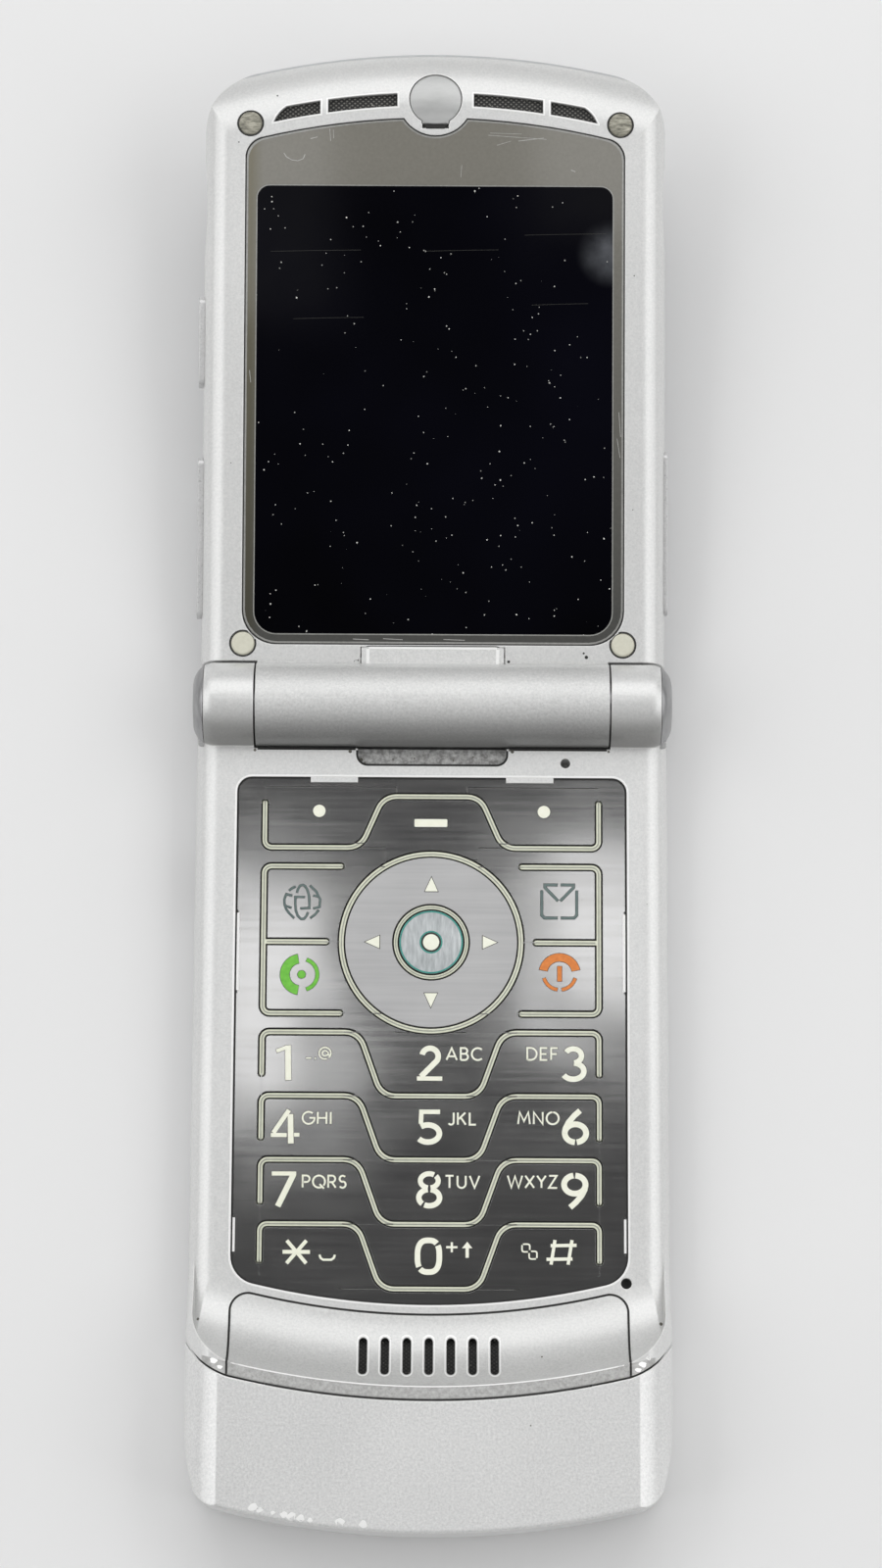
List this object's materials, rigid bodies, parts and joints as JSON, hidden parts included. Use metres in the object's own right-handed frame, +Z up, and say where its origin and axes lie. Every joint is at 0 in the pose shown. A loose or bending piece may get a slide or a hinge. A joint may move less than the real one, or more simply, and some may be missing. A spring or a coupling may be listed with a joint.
{
  "type": "clamshell phone",
  "caption": "Thin silver clamshell mobile phone, open: screen in a hinged lid, one-sheet etched keypad, swept-up chin with sound slots.",
  "frame": {"origin": "middle of the open phone's footprint, on the face it rests on", "axes": "+Z up, +Y from the chin toward the tip of the lid, +X to the right as the keypad is read"},
  "size_m": [0.0538, 0.167, 0.0172],
  "materials": {
    "front_paint": "fine silver flake paint, satin",
    "back_paint": "fine silver flake paint, satin",
    "chin_paint": "fine silver flake paint, satin",
    "lid_paint": "fine silver flake paint, satin",
    "lid_back_metal": "fine bead-blasted",
    "cover_metal": "fine brushed",
    "cap_metal": "turned",
    "key_metal": "fine brushed, etched grooves",
    "mat_rubber": "translucent, lit from below",
    "dome_metal": "pressed",
    "board_laminate": "solder mask",
    "shield_metal": "tinned",
    "capsule": "moulded",
    "antenna_plastic": "moulded carrier with foil",
    "battery_case": "moulded, plain",
    "screw_steel": "blackened",
    "hinge_steel": "ground",
    "pivot_plastic": "moulded",
    "lens": "clear hard coat over a printed warm grey border",
    "display": "unlit",
    "mesh_cloth": "fine woven mesh",
    "badge": "polished, plain",
    "bumper_rubber": "matt",
    "camera_black": "polished",
    "side_key_metal": "satin"
  },
  "bodies": {
    "base": {"front_housing": "front_paint", "rear_housing": "back_paint", "chin_cover": "chin_paint", "grille_plate": "front_paint", "grille_mesh": "mesh_cloth", "keypad_sheet": "key_metal", "keypad_mat": "mat_rubber", "dome_sheet": "dome_metal", "main_board": "board_laminate", "board_shield": "shield_metal", "microphone": "capsule", "loudspeaker": "capsule", "antenna": "antenna_plastic", "usb_socket": "shield_metal", "sim_holder": "shield_metal", "battery": "battery_case", "case_screws": "screw_steel", "hinge_pin": "hinge_steel", "hinge_bush": "hinge_steel", "knuckle_caps": "cap_metal"},
    "lid": {"lid_inner_housing": "lid_paint", "lid_outer_housing": "lid_back_metal", "hinge_barrel": "lid_paint", "hinge_cartridge": "hinge_steel", "display_lens": "lens", "display_module": "display", "earpiece": "capsule", "earpiece_mesh": "mesh_cloth", "badge_disc": "badge", "lid_bumpers": "bumper_rubber", "outer_lens": "lens", "camera_module": "camera_black"},
    "cover": {"battery_cover": "cover_metal"},
    "latch": {"cover_latch": "back_paint"},
    "nav_rocker": {"nav_pivot": "pivot_plastic"},
    "nav": {"nav_ring": "key_metal"},
    "soft_key_left": {"soft_key_left": "key_metal"},
    "soft_key_right": {"soft_key_right": "key_metal"},
    "menu_key": {"menu_key": "key_metal"},
    "web_key": {"web_key": "key_metal"},
    "message_key": {"message_key": "key_metal"},
    "call_key": {"call_key": "key_metal"},
    "end_key": {"end_key": "key_metal"},
    "select_key": {"select_key": "key_metal"},
    "key_1": {"key_1": "key_metal"},
    "key_2": {"key_2": "key_metal"},
    "key_3": {"key_3": "key_metal"},
    "key_4": {"key_4": "key_metal"},
    "key_5": {"key_5": "key_metal"},
    "key_6": {"key_6": "key_metal"},
    "key_7": {"key_7": "key_metal"},
    "key_8": {"key_8": "key_metal"},
    "key_9": {"key_9": "key_metal"},
    "key_star": {"key_star": "key_metal"},
    "key_0": {"key_0": "key_metal"},
    "key_hash": {"key_hash": "key_metal"},
    "smart_key": {"smart_key": "side_key_metal"},
    "voice_key": {"voice_key": "side_key_metal"},
    "volume_rocker": {"volume_rocker": "side_key_metal"}
  },
  "joints": [
    {"name": "lid_hinge", "type": "hinge", "parent": "base", "child": "lid", "pos_m": [0, 0.00872, 0.0077], "axis": [1, 0, 0], "range_deg": [0, 172]},
    {"name": "soft_key_left_press", "type": "slide", "parent": "base", "child": "soft_key_left", "axis": [0, 0, -1], "range_m": [0, 0.0002], "stiffness_N_per_m": 600, "springref_m": -0.0002},
    {"name": "soft_key_right_press", "type": "slide", "parent": "base", "child": "soft_key_right", "axis": [0, 0, -1], "range_m": [0, 0.0002], "stiffness_N_per_m": 600, "springref_m": -0.0002},
    {"name": "menu_key_press", "type": "slide", "parent": "base", "child": "menu_key", "axis": [0, 0, -1], "range_m": [0, 0.0002], "stiffness_N_per_m": 600, "springref_m": -0.0002},
    {"name": "web_key_press", "type": "slide", "parent": "base", "child": "web_key", "axis": [0, 0, -1], "range_m": [0, 0.0002], "stiffness_N_per_m": 600, "springref_m": -0.0002},
    {"name": "message_key_press", "type": "slide", "parent": "base", "child": "message_key", "axis": [0, 0, -1], "range_m": [0, 0.0002], "stiffness_N_per_m": 600, "springref_m": -0.0002},
    {"name": "call_key_press", "type": "slide", "parent": "base", "child": "call_key", "axis": [0, 0, -1], "range_m": [0, 0.0002], "stiffness_N_per_m": 600, "springref_m": -0.0002},
    {"name": "end_key_press", "type": "slide", "parent": "base", "child": "end_key", "axis": [0, 0, -1], "range_m": [0, 0.0002], "stiffness_N_per_m": 600, "springref_m": -0.0002},
    {"name": "select_key_press", "type": "slide", "parent": "base", "child": "select_key", "axis": [0, 0, -1], "range_m": [0, 0.0002], "stiffness_N_per_m": 600, "springref_m": -0.0002},
    {"name": "key_1_press", "type": "slide", "parent": "base", "child": "key_1", "axis": [0, 0, -1], "range_m": [0, 0.0002], "stiffness_N_per_m": 600, "springref_m": -0.0002},
    {"name": "key_2_press", "type": "slide", "parent": "base", "child": "key_2", "axis": [0, 0, -1], "range_m": [0, 0.0002], "stiffness_N_per_m": 600, "springref_m": -0.0002},
    {"name": "key_3_press", "type": "slide", "parent": "base", "child": "key_3", "axis": [0, 0, -1], "range_m": [0, 0.0002], "stiffness_N_per_m": 600, "springref_m": -0.0002},
    {"name": "key_4_press", "type": "slide", "parent": "base", "child": "key_4", "axis": [0, 0, -1], "range_m": [0, 0.0002], "stiffness_N_per_m": 600, "springref_m": -0.0002},
    {"name": "key_5_press", "type": "slide", "parent": "base", "child": "key_5", "axis": [0, 0, -1], "range_m": [0, 0.0002], "stiffness_N_per_m": 600, "springref_m": -0.0002},
    {"name": "key_6_press", "type": "slide", "parent": "base", "child": "key_6", "axis": [0, 0, -1], "range_m": [0, 0.0002], "stiffness_N_per_m": 600, "springref_m": -0.0002},
    {"name": "key_7_press", "type": "slide", "parent": "base", "child": "key_7", "axis": [0, 0, -1], "range_m": [0, 0.0002], "stiffness_N_per_m": 600, "springref_m": -0.0002},
    {"name": "key_8_press", "type": "slide", "parent": "base", "child": "key_8", "axis": [0, 0, -1], "range_m": [0, 0.0002], "stiffness_N_per_m": 600, "springref_m": -0.0002},
    {"name": "key_9_press", "type": "slide", "parent": "base", "child": "key_9", "axis": [0, 0, -1], "range_m": [0, 0.0002], "stiffness_N_per_m": 600, "springref_m": -0.0002},
    {"name": "key_star_press", "type": "slide", "parent": "base", "child": "key_star", "axis": [0, 0, -1], "range_m": [0, 0.0002], "stiffness_N_per_m": 600, "springref_m": -0.0002},
    {"name": "key_0_press", "type": "slide", "parent": "base", "child": "key_0", "axis": [0, 0, -1], "range_m": [0, 0.0002], "stiffness_N_per_m": 600, "springref_m": -0.0002},
    {"name": "key_hash_press", "type": "slide", "parent": "base", "child": "key_hash", "axis": [0, 0, -1], "range_m": [0, 0.0002], "stiffness_N_per_m": 600, "springref_m": -0.0002},
    {"name": "nav_up_down", "type": "hinge", "parent": "base", "child": "nav_rocker", "pos_m": [0, -0.01824, 0.00705], "axis": [1, 0, 0], "range_deg": [-1.3, 1.3], "stiffness_Nm_per_rad": 0.06},
    {"name": "nav_left_right", "type": "hinge", "parent": "nav_rocker", "child": "nav", "pos_m": [0, -0.01824, 0.00705], "axis": [0, 1, 0], "range_deg": [-1.3, 1.3], "stiffness_Nm_per_rad": 0.06},
    {"name": "smart_key_press", "type": "slide", "parent": "lid", "child": "smart_key", "axis": [1, 0, 0], "range_m": [0, 0.0004], "stiffness_N_per_m": 500, "springref_m": -0.0002},
    {"name": "voice_key_press", "type": "slide", "parent": "lid", "child": "voice_key", "axis": [-1, 0, 0], "range_m": [0, 0.0004], "stiffness_N_per_m": 500, "springref_m": -0.0002},
    {"name": "volume_rock", "type": "hinge", "parent": "lid", "child": "volume_rocker", "pos_m": [-0.0244, 0.02817, 0.00725], "axis": [0, -0.1392, 0.9903], "range_deg": [-1.8, 1.8], "stiffness_Nm_per_rad": 0.15},
    {"name": "cover_lift", "type": "slide", "parent": "base", "child": "cover", "axis": [0, 0, -1], "range_m": [0, 0.012]},
    {"name": "latch_slide", "type": "slide", "parent": "base", "child": "latch", "axis": [0, -1, 0], "range_m": [0, 0.0009], "stiffness_N_per_m": 300, "springref_m": -0.0003}
  ]
}
